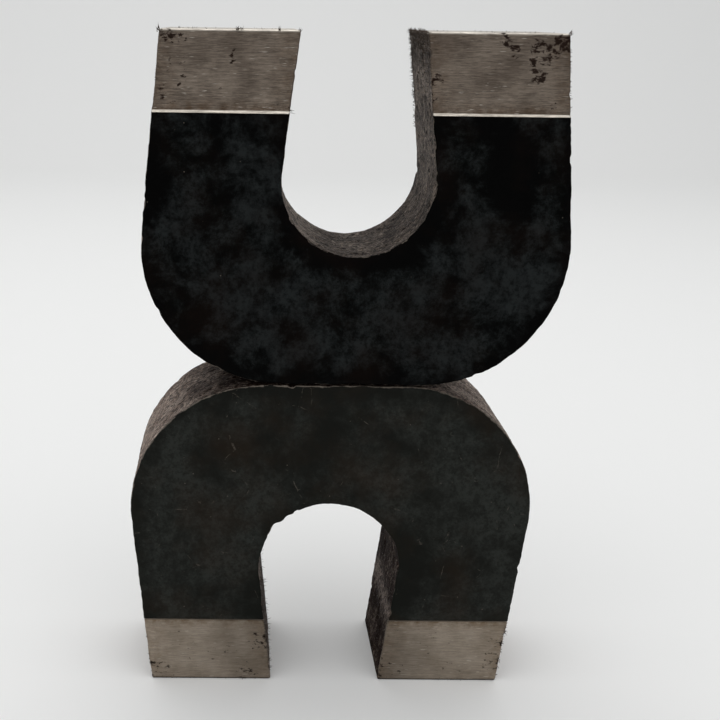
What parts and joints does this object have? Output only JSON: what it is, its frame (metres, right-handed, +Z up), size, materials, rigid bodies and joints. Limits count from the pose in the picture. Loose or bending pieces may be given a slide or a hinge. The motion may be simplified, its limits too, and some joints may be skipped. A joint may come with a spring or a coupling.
{
  "type": "magnetic desk sculpture",
  "caption": "Desk sculpture of like cast horseshoe magnets stacked crown to crown: a standing arch below, and above it an upright U held on by its pull.",
  "frame": {"origin": "on the table, under the middle of the stack's bounding box", "axes": "+Z up, from the lower magnet's poles to the upper magnet's; +Y from the front face to the back; +X to the right, seen from the front"},
  "size_m": [0.083, 0.0258, 0.1313],
  "materials": {
    "blackened_cast_alnico": "satin",
    "bare_ground_alnico": "satin",
    "rough_cast_skin": "matte",
    "iron_filings": "matte"
  },
  "bodies": {
    "lower": {"lower_magnet": "blackened_cast_alnico"},
    "upper": {"upper_magnet": "blackened_cast_alnico"}
  },
  "joints": [
    {"name": "upper_lift", "type": "slide", "parent": "lower", "child": "upper", "axis": [0, 0, 1], "range_m": [0, 0.08]}
  ]
}
